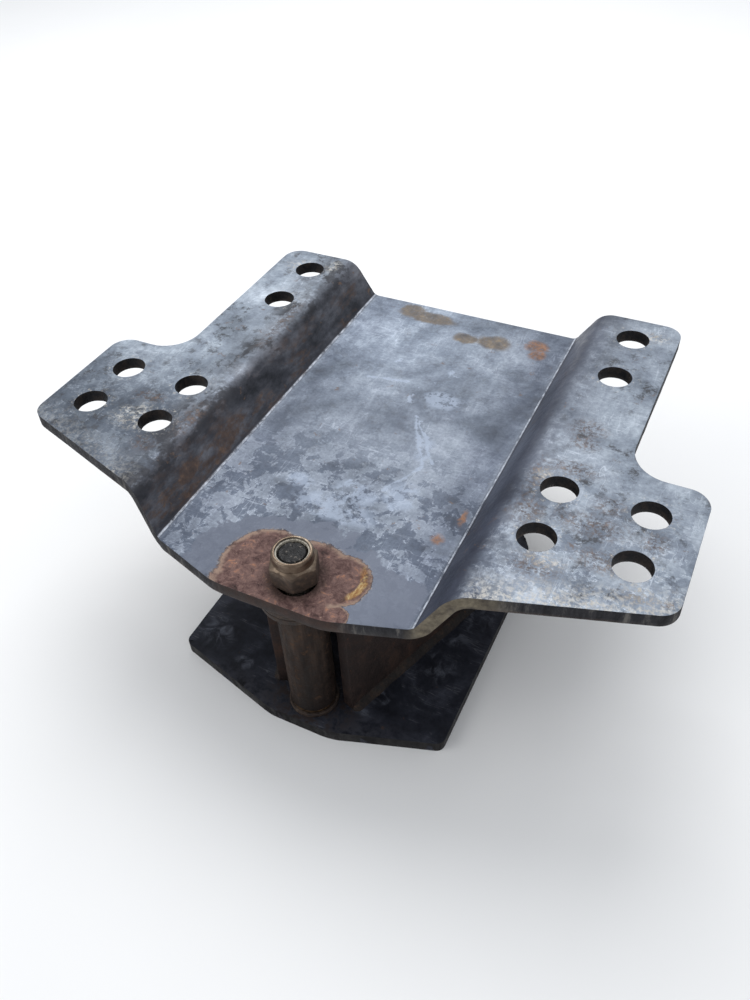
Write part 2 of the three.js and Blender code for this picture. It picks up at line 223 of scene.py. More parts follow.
def spun(rows, closed):
    """A turned solid about the bolt's axis from (radius, height) rows, lowest row first.
    A radius may be a function of the angle. A closed section makes a ring."""
    bm = bmesh.new()
    rings = []
    for radius, height in rows:
        ring = []
        for i in range(SPUN_STEPS):
            angle = 2 * math.pi * i / SPUN_STEPS
            reach = radius(angle) if callable(radius) else radius
            ring.append(bm.verts.new((
                BOLT.x + reach * math.cos(angle), BOLT.y + reach * math.sin(angle), height,
            )))
        rings.append(ring)
    join_rings(bm, rings, rings[1:] + rings[:1] if closed else rings[1:])
    if not closed:
        bm.faces.new(rings[0])
        bm.faces.new(rings[-1])
    bmesh.ops.recalc_face_normals(bm, faces=bm.faces)
    return bm


def hexagon(flats, turn):
    """The radius of a hexagon as a function of the angle."""
    sixth = math.pi / 3

    def reach(angle):
        off_flat = (angle - turn + sixth / 2) % sixth - sixth / 2
        return flats / 2 / math.cos(off_flat)

    return reach


def join_rings(bm, rings, following):
    """Faces between each ring of points and the one that follows it."""
    for ring, after in zip(rings, following):
        for i in range(len(ring)):
            j = (i + 1) % len(ring)
            bm.faces.new((ring[i], ring[j], after[j], after[i]))


def ring_box(node):
    """Outer radius, lowest and highest level of a turned node."""
    low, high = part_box(node)
    return (high.x - low.x) / 2, low.z, high.z


# ---------------- material helper


class Surface:
    """A node material. Each method adds nodes and returns the output that carries the result."""

    def __init__(self, name):
        self.material = bpy.data.materials.new(name)
        self.material.use_nodes = True
        self.tree = self.material.node_tree
        self.tree.nodes.clear()
        self.place = self.node("ShaderNodeTexCoord").outputs["Object"]
        self.x, self.y, self.z = self.split(self.place)
        normal = self.node("ShaderNodeNewGeometry").outputs["Normal"]
        normal = self.to_object(normal)
        self.normal_x, self.normal_y, self.normal_z = self.split(normal)
        self.upright = self.math("ABSOLUTE", self.normal_z)

    def node(self, kind, **settings):
        made = self.tree.nodes.new(kind)
        for key, value in settings.items():
            setattr(made, key, value)
        return made

    def feed(self, socket, value):
        if isinstance(value, bpy.types.NodeSocket):
            self.tree.links.new(value, socket)
        elif socket.type == "RGBA":
            socket.default_value = (*value, 1)
        else:
            socket.default_value = value

    def split(self, vector):
        made = self.node("ShaderNodeSeparateXYZ")
        self.feed(made.inputs[0], vector)
        return made.outputs

    def to_object(self, vector):
        made = self.node(
            "ShaderNodeVectorTransform", vector_type="NORMAL", convert_from="WORLD", convert_to="OBJECT",
        )
        self.feed(made.inputs[0], vector)
        return made.outputs[0]

    def math(self, operation, a, b=0.0, clamp=False):
        made = self.node("ShaderNodeMath", operation=operation, use_clamp=clamp)
        self.feed(made.inputs[0], a)
        self.feed(made.inputs[1], b)
        return made.outputs[0]

    def folded(self, operation, values):
        result = values[0]
        for value in values[1:]:
            result = self.math(operation, result, value)
        return result

    def times(self, *values):
        return self.folded("MULTIPLY", values)

    def most(self, *values):
        return self.folded("MAXIMUM", values)

    def least(self, *values):
        return self.folded("MINIMUM", values)

    def centred(self, noise, amount):
        """The noise moved to run either side of zero, times the amount."""
        return self.times(self.math("SUBTRACT", noise, 0.5), amount)

    def apart(self, a, b):
        return self.math("ABSOLUTE", self.math("SUBTRACT", a, b))

    def step(self, value, start, end, low=0.0, high=1.0):
        """Goes smoothly from low to high as value goes from start to end."""
        made = self.node("ShaderNodeMapRange", interpolation_type="SMOOTHSTEP")
        for index, item in enumerate((value, start, end, low, high)):
            self.feed(made.inputs[index], item)
        return made.outputs[0]

    def vector_math(self, operation, *values):
        made = self.node("ShaderNodeVectorMath", operation=operation)
        for socket, value in zip(made.inputs, values):
            self.feed(socket, value)
        return made.outputs

    def stretched(self, stretch, vector=None):
        return self.vector_math("MULTIPLY", vector or self.place, stretch)[0]

    def noise(self, size, detail=5.0, roughness=0.6, stretch=None, distortion=0.0, colour=False):
        """Noise whose lumps are about size across, stretched by the shares given."""
        made = self.node("ShaderNodeTexNoise")
        self.feed(made.inputs["Vector"], self.stretched(stretch) if stretch else self.place)
        self.feed(made.inputs["Scale"], 1 / size)
        self.feed(made.inputs["Detail"], detail)
        self.feed(made.inputs["Roughness"], roughness)
        self.feed(made.inputs["Distortion"], distortion)
        return made.outputs["Color" if colour else "Fac"]

    def cells(self, size):
        made = self.node("ShaderNodeTexVoronoi")
        self.feed(made.inputs["Vector"], self.place)
        self.feed(made.inputs["Scale"], 1 / size)
        return made.outputs["Distance"]

    def ramp(self, value, *stops):
        made = self.node("ShaderNodeValToRGB")
        elements = made.color_ramp.elements
        while len(elements) < len(stops):
            elements.new(0.5)
        for element, (place, colour) in zip(elements, stops):
            element.position = place
            element.color = (*colour, 1)
        self.feed(made.inputs[0], value)
        return made.outputs[0]

    def mix(self, under, over, share, blend="MIX"):
        made = self.node("ShaderNodeMix", data_type="RGBA", blend_type=blend)
        self.feed(made.inputs[0], share)
        self.feed(made.inputs[6], under)
        self.feed(made.inputs[7], over)
        return made.outputs[2]

    def tinted(self, colour, field, dark, light, share=0.8):
        """The colour times a tint that goes from dark to light with the field."""
        return self.mix(colour, self.ramp(field, (0.3, dark), (0.7, light)), share, "MULTIPLY")

    def wobbled(self, size, amount):
        """The place, pushed about by noise, for outlines that wander."""
        lumps = self.noise(size, detail=4.0, colour=True)
        pushed = self.vector_math("MULTIPLY_ADD", lumps, (amount,) * 3, self.place)[0]
        return self.vector_math("SUBTRACT", pushed, (amount / 2,) * 3)[0]

    def away(self, place, x, y, reach_x, reach_y):
        """Distance from a spot in plan, as a share of its reach."""
        off = self.vector_math("SUBTRACT", place, (x, y, 0))[0]
        share = self.stretched((1 / reach_x, 1 / reach_y, 0), off)
        return self.vector_math("LENGTH", share)["Value"]

    def nearest(self, place, spots):
        """How far off the nearest (x, y, reach x, reach y) spot is, in shares of its reach.
        The spots are in millimetres."""
        return self.least(*(self.away(place, *(value * MM for value in spot)) for spot in spots))

    def spots(self, place, spots, soft=0.25):
        """1 inside any of the spots, 0 outside."""
        return self.step(self.nearest(place, spots), 1 + soft, 1 - soft)

    def off_line(self, place, start, end):
        """Distance in plan from a straight line between two (x, y) places in millimetres."""
        start, end = Vector((*start, 0)) * MM, Vector((*end, 0)) * MM
        along = (end - start).normalized()
        off = self.vector_math("SUBTRACT", place, (start + end) / 2)[0]
        reaches = []
        for direction in (along, Vector((-along.y, along.x, 0))):
            reach = self.vector_math("DOT_PRODUCT", off, direction)["Value"]
            reaches.append(self.math("ABSOLUTE", reach))
        beyond = self.math("SUBTRACT", reaches[0], (end - start).length / 2)
        return self.math("ADD", self.math("MAXIMUM", beyond, 0.0), reaches[1])

    def bump(self, height, distance, strength=1.0, under=None):
        made = self.node("ShaderNodeBump")
        made.inputs["Strength"].default_value = strength
        made.inputs["Distance"].default_value = distance
        self.feed(made.inputs["Height"], height)
        if under is not None:
            self.feed(made.inputs["Normal"], under)
        return made.outputs[0]

    def finish(self, colour, roughness, metallic, normal, specular=0.5):
        shader = self.node("ShaderNodeBsdfPrincipled")
        shader.inputs["Specular IOR Level"].default_value = specular
        self.feed(shader.inputs["Base Color"], colour)
        self.feed(shader.inputs["Roughness"], roughness)
        self.feed(shader.inputs["Metallic"], metallic)
        self.feed(shader.inputs["Normal"], normal)
        output = self.node("ShaderNodeOutputMaterial")
        self.feed(output.inputs["Surface"], shader.outputs[0])
        return self.material


# ---------------- top plate


def plate_fields(s):
    """The noises and areas that the plate's colours share."""
    across = s.math("ABSOLUTE", s.x)
    level = s.step(s.upright, 0.9, 0.98)
    flipped = s.node("ShaderNodeCombineXYZ")
    s.feed(flipped.inputs[0], s.math("MULTIPLY", across, -1))
    s.feed(flipped.inputs[1], s.y)
    rims = [s.away(flipped.outputs[0], hole.x, hole.y, HOLE_RADIUS, HOLE_RADIUS) for hole in HOLES]
    return SimpleNamespace(
        across=across,
        fine=s.noise(2.2 * MM, detail=6.0, roughness=0.7),
        grain=s.noise(7 * MM, detail=8.0, roughness=0.65),
        broad=s.noise(58 * MM, detail=8.0, distortion=0.3),
        speckle=s.noise(3.2 * MM, detail=8.0, roughness=0.8),
        wander=s.wobbled(14 * MM, 10 * MM),
        fine_wander=s.wobbled(5 * MM, 5 * MM),
        panel=s.times(s.step(across, 93 * MM, 86 * MM), level),
        flange=s.times(s.step(across, 112 * MM, 124 * MM), level),
        steep=s.step(s.upright, 0.995, 0.80),
        right=s.step(s.x, -10 * MM, 30 * MM),
        front=s.step(s.y, 20 * MM, -90 * MM),
        rim_away=s.least(*rims),
    )


def mill_scale_and_shade(s, f):
    """Slate ground with paler flakes, with painted shade beside the bends and on the front of the left wing.
    """
    colour = s.ramp(
        f.broad,
        (0.30, (0.090, 0.104, 0.128)), (0.45, (0.165, 0.188, 0.226)),
        (0.57, (0.235, 0.262, 0.305)), (0.74, (0.325, 0.355, 0.405)),
    )
    colour = s.tinted(colour, f.grain, (0.62, 0.63, 0.66), (1.16, 1.16, 1.15), 0.85)
    fine_tint = s.ramp(f.fine, (0.3, (0.66, 0.66, 0.69)), (0.62, (1.12, 1.12, 1.12)))
    colour = s.mix(colour, fine_tint, 0.7, "MULTIPLY")
    flakes = s.noise(17 * MM, detail=11.0, roughness=0.70, distortion=0.25)
    shown = s.times(s.step(f.front, 0.0, 1.0, 0.30, 0.9), s.step(f.flange, 0, 1, 1.0, 0.62))
    bare = s.times(s.step(flakes, 0.525, 0.475), shown)
    colour = s.mix(colour, (0.44, 0.47, 0.53), bare, "MULTIPLY")
    flake_edge = s.step(s.apart(flakes, 0.515), 0.010, 0.003)
    flake_edge = s.times(flake_edge, f.front, s.step(f.fine, 0.46, 0.60))
    colour = s.mix(colour, (0.48, 0.52, 0.60), s.times(flake_edge, 0.55))
    brushed = s.noise(9 * MM, stretch=(1.2, 0.12, 1))
    colour = s.tinted(colour, brushed, (0.80, 0.81, 0.84), (1.15, 1.15, 1.14), 0.7)
    for stretch in ((0.10, 1.5, 1), (1.1, 0.16, 1)):
        lines = s.noise(9 * MM, detail=2.0, roughness=0.5, stretch=stretch, distortion=0.4)
        thin = s.step(s.apart(lines, 0.5), 0.007, 0.002)
        colour = s.mix(colour, (0.42, 0.46, 0.53), s.times(thin, s.step(f.broad, 0.44, 0.56), 0.3))
    # Painted shade: the panel darker towards the creases at the foot of the risers, more on the right.
    bend_shade = s.times(s.step(f.across, 46 * MM, 84 * MM), s.step(f.grain, 0.25, 0.65, 1.0, 0.6), f.panel)
    colour = s.mix(colour, (0.50, 0.52, 0.58), s.times(bend_shade, s.step(f.right, 0, 1, 0.65, 1.0)), "MULTIPLY")
    raised = s.times(f.flange, s.step(f.right, 0, 1, 1.0, 0.62))
    colour = s.mix(colour, (1.68, 1.70, 1.65), raised, "MULTIPLY")
    # Painted shade: the front of the left wing darker.
    wing_shade = s.times(s.step(s.x, -112 * MM, -124 * MM), f.front)
    colour = s.mix(colour, (0.46, 0.47, 0.49), wing_shade, "MULTIPLY")
    rear_left = s.times(s.step(s.x, 100 * MM, -50 * MM), s.step(s.y, 0, 120 * MM), f.panel)
    colour = s.mix(colour, (1.34, 1.36, 1.36), rear_left, "MULTIPLY")
    return s.mix(colour, (1.10, 1.11, 1.12), f.panel, "MULTIPLY")


RUB_LOOPS = ((14, 54, 17), (-38, 92, 10), (9, -62, 12), (46, -62, 12))  # x, y, radius in millimetres
RUB_WIPES = (
    ((12, 28), (38, -20)), ((17, 24), (44, -16)), ((40, -22), (24, -54)), ((-44, 60), (-6, 64)),
)
RUB_SPLASHES = (
    (8, -66, 16, 12), (38, -56, 12, 14), (-33, -68, 9, 7), (34, -6, 7, 10), (2, -84, 30, 11),
    (20, 88, 6, 4), (22, 52, 14, 10),
)


def panel_rubs(s, f):
    """Pale scuffs on the panel: broken curved smears, long wipes and dried splashes."""
    loops = []
    for x, y, reach in RUB_LOOPS:
        away = s.away(f.wander, x * MM, y * MM, reach * MM, reach * MM)
        loops.append(s.times(s.apart(away, 1.0), reach * MM))
    gaps = s.step(s.noise(26 * MM, detail=1.0), 0.54, 0.44, 0.0, 6 * MM)
    broken = s.math("ADD", s.least(*loops), gaps)
    nearest = s.least(broken, *(s.off_line(f.wander, start, end) for start, end in RUB_WIPES))
    uneven = s.math("ADD", nearest, s.centred(f.grain, 11 * MM))
    smears = s.times(s.step(uneven, 2.0 * MM, 0.2 * MM), 0.85)
    blots = s.spots(f.wander, RUB_SPLASHES, 0.3)
    blots = s.times(blots, s.step(s.noise(12 * MM, detail=9.0, roughness=0.7), 0.45, 0.52), 0.75)
    return s.times(s.most(smears, blots), f.panel)


def riser_stains_and_shade(s, f, colour):
    """Dark bends and risers: painted shade and a painted dark reflection, with charcoal blotches and rust on
    the left, smoother slate on the right.
    """
    # Charcoal blotches, made very dark as painted shade and a painted dark reflection on the left riser.
    charcoal_and_shade = s.ramp(
        s.noise(24 * MM, detail=8.0, roughness=0.68, stretch=(1, 0.45, 1)),
        (0.38, (0.012, 0.013, 0.017)), (0.48, (0.045, 0.047, 0.058)),
        (0.60, (0.110, 0.114, 0.134)), (0.74, (0.22, 0.23, 0.26)),
    )
    # Painted shade on the right riser: dark slate, lighter towards its foot and darker to the front.
    shaded_slate = s.ramp(f.broad, (0.35, (0.034, 0.039, 0.058)), (0.65, (0.088, 0.100, 0.136)))
    foot = s.step(s.z, PANEL_TOP + 20 * MM, PANEL_TOP + 2 * MM)
    shaded_slate = s.mix(shaded_slate, (0.13, 0.145, 0.18), s.times(foot, 0.3))
    shaded_slate = s.mix(shaded_slate, (0.62, 0.63, 0.68), f.front, "MULTIPLY")
    dark = s.mix(charcoal_and_shade, shaded_slate, f.right)
    # Painted shade and a painted dark reflection: the steep faces take the dark colour, and the upper bends
    # take it in patches.
    colour = s.mix(colour, dark, s.times(f.steep, 0.95))
    shoulder = s.times(
        s.step(f.across, 152 * MM, 116 * MM), s.step(s.z, 150 * MM, 168 * MM), s.step(f.grain, 0.30, 0.60),
    )
    colour = s.mix(colour, dark, s.times(shoulder, 0.7))
    char = s.step(s.noise(26 * MM, detail=9.0, roughness=0.66, stretch=(1, 0.6, 1)), 0.51, 0.57)
    on_bend = s.times(s.step(f.across, 100 * MM, 110 * MM), s.step(f.across, 142 * MM, 124 * MM))
    char = s.times(char, on_bend, s.step(f.right, 0, 1, 0.85, 0.3), s.step(s.normal_z, 0.3, 0.5))
    colour = s.mix(colour, (0.022, 0.023, 0.029), char)
    blotch = s.noise(24 * MM, detail=9.0, roughness=0.72, stretch=(1, 0.36, 1))
    low = s.step(s.z, PANEL_TOP + 24 * MM, PANEL_TOP + 12 * MM, 0.35, 1.0)
    rusty = s.times(s.step(s.upright, 0.97, 0.7), s.step(blotch, 0.48, 0.60), low)
    rusty = s.times(rusty, s.step(f.right, 0, 1, 0.85, 0.12))
    rust = s.ramp(
        f.grain, (0.35, (0.050, 0.034, 0.029)), (0.55, (0.098, 0.062, 0.046)), (0.70, (0.19, 0.115, 0.074)),
    )
    return s.mix(colour, rust, rusty)


def flange_stains_and_lip_highlight(s, f, colour):
    """Dark scale specks, purple-brown rust clusters and cream deposits on the flanges, and a painted
    highlight along their front lip.
    """
    dark = s.step(s.noise(10 * MM, detail=9.0, roughness=0.75), 0.52, 0.62)
    dark = s.times(dark, s.step(f.broad, 0.60, 0.42), s.most(s.times(f.flange, 0.9), 0.25))
    colour = s.mix(colour, (0.045, 0.047, 0.054), dark)
    freckles = s.step(s.noise(13 * MM, detail=8.0, roughness=0.74, distortion=0.5), 0.615, 0.69)
    colour = s.mix(colour, (0.13, 0.082, 0.056), s.times(freckles, 0.75))
    clusters = s.spots(
        f.fine_wander,
        [(140, 27, 11, 9), (142, 12, 9, 7), (143, -15, 15, 7), (124, -30, 7, 15), (127, -62, 9, 12),
         (168, -60, 20, 9), (180, -86, 16, 8), (206, -104, 9, 6), (146, -104, 13, 9), (172, -40, 9, 7),
         (205, -60, 7, 9), (-133, -105, 9, 6), (-118, -70, 6, 16), (-160, -60, 12, 6), (-120, 60, 4, 30)],
        0.7,
    )
    breakup = s.step(f.speckle, 0.44, 0.58)
    cluster_colour = s.ramp(
        f.grain, (0.34, (0.030, 0.026, 0.029)), (0.52, (0.080, 0.058, 0.052)), (0.70, (0.22, 0.135, 0.085)),
    )
    colour = s.mix(colour, cluster_colour, s.times(clusters, breakup, 0.85))
    deposits = s.spots(
        f.fine_wander,
        [(-157, -88, 13, 8), (-155, -78, 6, 9), (-166, -80, 5, 4), (150, -98, 10, 5), (-136, -137, 7, 3),
         (127, -28, 5, 6), (205, -98, 8, 4), (-150, 148, 12, 8), (-124, 156, 5, 8), (155, 152, 9, 6)],
        0.8,
    )
    cream = s.times(deposits, s.step(f.speckle, 0.46, 0.60))
    # Painted highlight: cream along the front lip of the flanges, strongest on the right.
    front_line = s.math("MULTIPLY_ADD", s.math("SUBTRACT", f.across, NOSE_HALF_WIDTH), BLANK_SLOPE)
    front_line.node.inputs[2].default_value = NOSE_Y
    from_front = s.math("SUBTRACT", s.y, front_line)
    right_lip_highlight = s.times(s.step(from_front, 32 * MM, 2 * MM), f.flange, s.step(f.speckle, 0.44, 0.60))
    right_lip_highlight = s.times(right_lip_highlight, s.step(f.right, 0, 1, 0.35, 1.0))
    near_hole = s.times(s.step(f.rim_away, 1.8, 1.05), f.flange, s.step(f.speckle, 0.55, 0.64))
    cream_and_highlight = s.ramp(f.grain, (0.35, (0.34, 0.31, 0.26)), (0.65, (0.62, 0.61, 0.58)))
    return s.mix(colour, cream_and_highlight, s.times(s.most(cream, right_lip_highlight, near_hole), 0.8))


def rear_stains(s, f, colour):
    """Yellow-brown and orange stains by the rear edge of the panel."""
    places = [(-34, 155, 26, 7), (9, 138, 11, 7), (32, 140, 14, 10), (-50, 161, 11, 8)]
    stains = s.spots(f.wander, places, 0.25)
    tan = s.ramp(
        f.grain, (0.3, (0.060, 0.054, 0.052)), (0.55, (0.14, 0.112, 0.085)), (0.7, (0.24, 0.18, 0.11)),
    )
    colour = s.mix(colour, tan, s.times(stains, s.step(f.fine, 0.3, 0.5, 0.5, 0.9)))
    orange = s.spots(f.wander, [(66, 149, 9, 8), (70, 137, 7, 7)], 0.3)
    dots = s.spots(f.fine_wander, [(76, -82.5, 4, 4), (84, -58, 2, 7)], 0.5)
    rust = s.ramp(f.grain, (0.35, (0.075, 0.048, 0.042)), (0.62, (0.30, 0.14, 0.06)))
    return s.mix(colour, rust, s.times(s.most(orange, dots), s.step(f.fine, 0.32, 0.5), 0.85))


HALO_LOBES = ((0, -140, 58, 40), (60, -146, 46, 30), (-48, -148, 20, 24))
RUST_LOBES = (
    (-17, -146, 27, 30), (13, -146, 30, 31), (34, -139, 21, 21), (2, -166, 44, 16), (45, -166, 9, 9),
)


def patch_halo(s, f, colour):
    """The darker, bluer ground round the rust."""
    lobes = s.noise(15 * MM, detail=9.0, roughness=0.66)
    halo = s.math("ADD", s.nearest(f.wander, HALO_LOBES), s.centred(lobes, 1.1))
    halo = s.step(halo, 1.02, 0.97)
    halo_colour = s.ramp(f.grain, (0.3, (0.066, 0.077, 0.106)), (0.7, (0.150, 0.168, 0.214)))
    return s.mix(colour, halo_colour, s.times(halo, f.panel, 0.88))


def patch_colour(s):
    """Purple-brown rust with dark pits and pale crumbs."""
    rust = s.ramp(
        s.noise(7 * MM, detail=10.0, roughness=0.74, distortion=0.4),
        (0.32, (0.026, 0.014, 0.013)), (0.44, (0.100, 0.054, 0.049)),
        (0.56, (0.188, 0.115, 0.102)), (0.68, (0.40, 0.195, 0.115)),
    )
    specks = s.noise(3.4 * MM, detail=8.0, roughness=0.82)
    rust = s.mix(rust, (0.022, 0.014, 0.014), s.times(s.step(specks, 0.42, 0.34), 0.8))
    return s.mix(rust, (0.46, 0.33, 0.24), s.times(s.step(specks, 0.60, 0.67), 0.8))


def patch_crescent(s, f, colour, patch):
    """The ochre crescent in the right lobe of the rust."""
    ring = s.away(f.fine_wander, 32 * MM, -138 * MM, 17 * MM, 17 * MM)
    crescent = s.times(s.step(ring, 0.86, 0.95), s.step(ring, 1.22, 1.08), s.step(s.x, 42 * MM, 47 * MM))
    crescent = s.times(crescent, s.step(s.y, -157 * MM, -148 * MM), s.step(f.grain, 0.34, 0.46))
    ochre = s.ramp(
        s.noise(3.2 * MM, detail=7.0, roughness=0.75, stretch=(1, 0.45, 1)),
        (0.38, (0.20, 0.075, 0.03)), (0.50, (0.38, 0.22, 0.08)), (0.62, (0.60, 0.47, 0.24)),
    )
    return s.mix(colour, ochre, s.times(crescent, patch, 0.9))


def rust_patch_and_nut_shade(s, f, colour):
    """The ground round the nut: a dark halo, then lobed rust with a pale feathered rim, and painted shade
    close round the nut's base.
    Returns the colour and the area that is rust."""
    colour = patch_halo(s, f, colour)
    near = s.math("ADD", s.nearest(f.fine_wander, RUST_LOBES), s.centred(f.speckle, 0.22))
    upward = s.times(s.step(s.z, PANEL_TOP + 8 * MM, PANEL_TOP + 2 * MM), s.step(s.normal_z, 0.2, 0.6))
    patch = s.times(s.step(near, 1.03, 0.98), upward)
    colour = s.mix(colour, patch_colour(s), patch)
    feather = s.times(s.step(near, 1.12, 1.0), upward, f.panel, s.step(f.speckle, 0.50, 0.60))
    colour = s.mix(colour, (0.30, 0.245, 0.20), s.times(feather, s.math("SUBTRACT", 1.0, patch), 0.8))
    rim = s.times(patch, s.step(near, 0.84, 0.98), s.step(f.grain, 0.36, 0.54, 0.2, 0.95))
    colour = s.mix(colour, (0.32, 0.225, 0.175), rim)
    colour = patch_crescent(s, f, colour, patch)
    # Painted shade close round the base of the nut, on the rust.
    nut_base_shade = s.step(s.away(s.place, BOLT.x, BOLT.y, 23 * MM, 23 * MM), 1.05, 0.72)
    colour = s.mix(colour, (0.030, 0.018, 0.014), s.times(nut_base_shade, patch, s.step(f.grain, 0.28, 0.58), 0.85))
    return colour, patch


def crease_highlight_and_shade(s, f, colour):
    """A broken bright line along each lower bend, with a dark one beside it: a painted highlight on the bend
    and painted shade in the crease.
    """
    crease = s.math("SUBTRACT", f.across, FOLD_X)
    low = s.times(s.step(s.z, PANEL_TOP + 6 * MM, PANEL_TOP + 3 * MM), s.step(s.normal_z, 0.5, 0.7))
    # Painted shade: a dark line in the crease beside the bend.
    dark = s.times(s.step(s.apart(crease, 2.2 * MM), 1.8 * MM, 0.6 * MM), low)
    colour = s.mix(colour, (0.035, 0.036, 0.045), s.times(dark, 0.75))
    # Painted highlight, broken up along the bend.
    highlight_breaks = s.step(s.noise(13 * MM, detail=8.0, roughness=0.85, stretch=(3, 1, 1)), 0.40, 0.60)
    line = s.times(s.step(s.math("ABSOLUTE", crease), 0.9 * MM, 0.3 * MM), low, highlight_breaks)
    return s.mix(colour, (0.62, 0.66, 0.74), s.times(line, 0.9))


def cut_edges(s, f, colour):
    """Burnt scale on the cut edges and hole walls, khaki at the right bend, brown at the nose.
    Returns the colour and the area that is cut."""
    cut = s.step(s.upright, 0.45, 0.25)
    burnt = s.ramp(
        s.noise(6 * MM, detail=6.0, roughness=0.7, stretch=(1, 1, 0.25)),
        (0.36, (0.007, 0.007, 0.009)), (0.54, (0.026, 0.026, 0.030)), (0.68, (0.115, 0.108, 0.100)),
    )
    bend = s.times(s.step(s.x, 84 * MM, 96 * MM), s.step(s.x, 150 * MM, 118 * MM))
    bend = s.times(bend, s.step(s.y, -110 * MM, -130 * MM))
    khaki = s.ramp(f.grain, (0.35, (0.07, 0.055, 0.04)), (0.65, (0.24, 0.205, 0.145)))
    burnt = s.mix(burnt, khaki, s.times(bend, 0.85))
    off_bolt = s.apart(s.x, BOLT.x)
    nose = s.times(s.step(off_bolt, 54 * MM, 34 * MM), s.step(s.y, -140 * MM, -155 * MM))
    brown = s.ramp(f.grain, (0.3, (0.014, 0.009, 0.008)), (0.7, (0.060, 0.036, 0.029)))
    burnt = s.mix(burnt, brown, s.times(nose, 0.92))
    wall = s.ramp(f.grain, (0.46, (0.008, 0.008, 0.010)), (0.74, (0.048, 0.036, 0.030)))
    burnt = s.mix(burnt, wall, s.step(f.rim_away, 1.10, 1.03))
    arris = s.times(s.step(s.upright, 0.35, 0.55), s.step(s.upright, 0.97, 0.75))
    arris = s.times(arris, s.step(s.normal_z, 0.1, 0.4))
    on_riser = s.times(s.step(f.across, 82 * MM, 88 * MM), s.step(f.across, 126 * MM, 121 * MM))
    outside = s.most(s.step(f.across, 150 * MM, 172 * MM), s.step(s.y, -120 * MM, -128 * MM))
    arris = s.times(arris, outside, s.math("SUBTRACT", 1.0, on_riser), s.step(f.speckle, 0.46, 0.58))
    colour = s.mix(s.mix(colour, burnt, cut), (0.34, 0.35, 0.36), s.times(arris, 0.6))
    return colour, cut


def underside_film(s, f, colour):
    """Even dark scale with a brown film below the plate."""
    under = s.step(s.normal_z, 0.0, -0.3)
    film = s.ramp(
        f.broad, (0.3, (0.04, 0.042, 0.05)), (0.5, (0.085, 0.078, 0.076)), (0.7, (0.13, 0.09, 0.065)),
    )
    film = s.tinted(film, f.grain, (0.6, 0.6, 0.6), (1.2, 1.15, 1.1))
    return s.mix(colour, film, under), under


def top_plate_material():
    s = Surface("weathered_plate")
    f = plate_fields(s)
    colour = mill_scale_and_shade(s, f)
    rubs = panel_rubs(s, f)
    colour = s.mix(colour, (0.50, 0.58, 0.72), s.times(rubs, 0.62))
    colour = riser_stains_and_shade(s, f, colour)
    colour = flange_stains_and_lip_highlight(s, f, colour)
    colour = rear_stains(s, f, colour)
    colour, patch = rust_patch_and_nut_shade(s, f, colour)
    colour = crease_highlight_and_shade(s, f, colour)
    colour, cut = cut_edges(s, f, colour)
    colour, under = underside_film(s, f, colour)
    dull = s.most(patch, rubs, cut, s.times(under, 0.8))
    roughness = s.step(f.grain, 0.3, 0.7, 0.38, 0.60)
    roughness = s.math("ADD", roughness, s.times(dull, 0.25), clamp=True)
    metallic = s.step(dull, 0.0, 1.0, 0.35, 0.0)
    height = s.math("ADD", s.times(f.grain, 0.6), s.times(f.fine, 0.25))
    normal = s.bump(height, 0.35 * MM, 0.5)
    pits = s.times(f.speckle, s.most(patch, s.times(cut, 0.6)))
    normal = s.bump(pits, 1.0 * MM, 0.8, normal)
    return s.finish(colour, roughness, metallic, normal, specular=0.22)


def build_top_plate():
    bm = softened("top_plate", 0.7 * MM, 6 * MM)
    roughen(bm, 0.22 * MM, 45 * MM)
    roughen(bm, 0.16 * MM, 4 * MM, on_level_face)
    add_piece(bm, "bent_top_plate", "top_plate", top_plate_material())


# ---------------- skid plate


SMUDGES = (
    (-90, -126, 15, 12), (-55, -143, 7, 6), (80, -86, 13, 12), (80, -57, 12, 6), (50, -127, 9, 6),
    (42, -142, 7, 4), (92, -30, 10, 16), (-86, -70, 12, 20), (-60, 40, 24, 18), (40, 55, 30, 16),
)


def skid_rust(s, grain, colour):
    """Rust round the bolt and in specks. Returns the colour and the rusted area."""
    rusty = s.step(s.away(s.place, BOLT.x, BOLT.y, 30 * MM, 30 * MM), 1.5, 0.7)
    rusty = s.times(rusty, s.step(grain, 0.42, 0.6))
    colour = s.mix(colour, (0.022, 0.014, 0.011), s.times(rusty, 0.8))
    specks = s.step(s.noise(11 * MM, detail=9.0, roughness=0.72), 0.63, 0.70)
    return s.mix(colour, (0.060, 0.036, 0.024), s.times(specks, 0.6)), s.most(rusty, specks)


def skid_edges(s, broad, colour):
    """Bright steel where the underside slides, burnt scale on the cut edge."""
    under = s.step(s.normal_z, -0.5, -0.9)
    slid = s.noise(30 * MM, detail=8.0, stretch=(1, 0.25, 1))
    bright = s.ramp(slid, (0.3, (0.05, 0.05, 0.055)), (0.7, (0.24, 0.24, 0.25)))
    colour = s.mix(colour, bright, s.times(under, s.step(broad, 0.4, 0.6)))
    streaks = s.noise(5 * MM, stretch=(1, 1, 0.25))
    burnt = s.ramp(streaks, (0.35, (0.006, 0.006, 0.007)), (0.7, (0.024, 0.022, 0.022)))
    return s.mix(colour, burnt, s.step(s.upright, 0.45, 0.25))


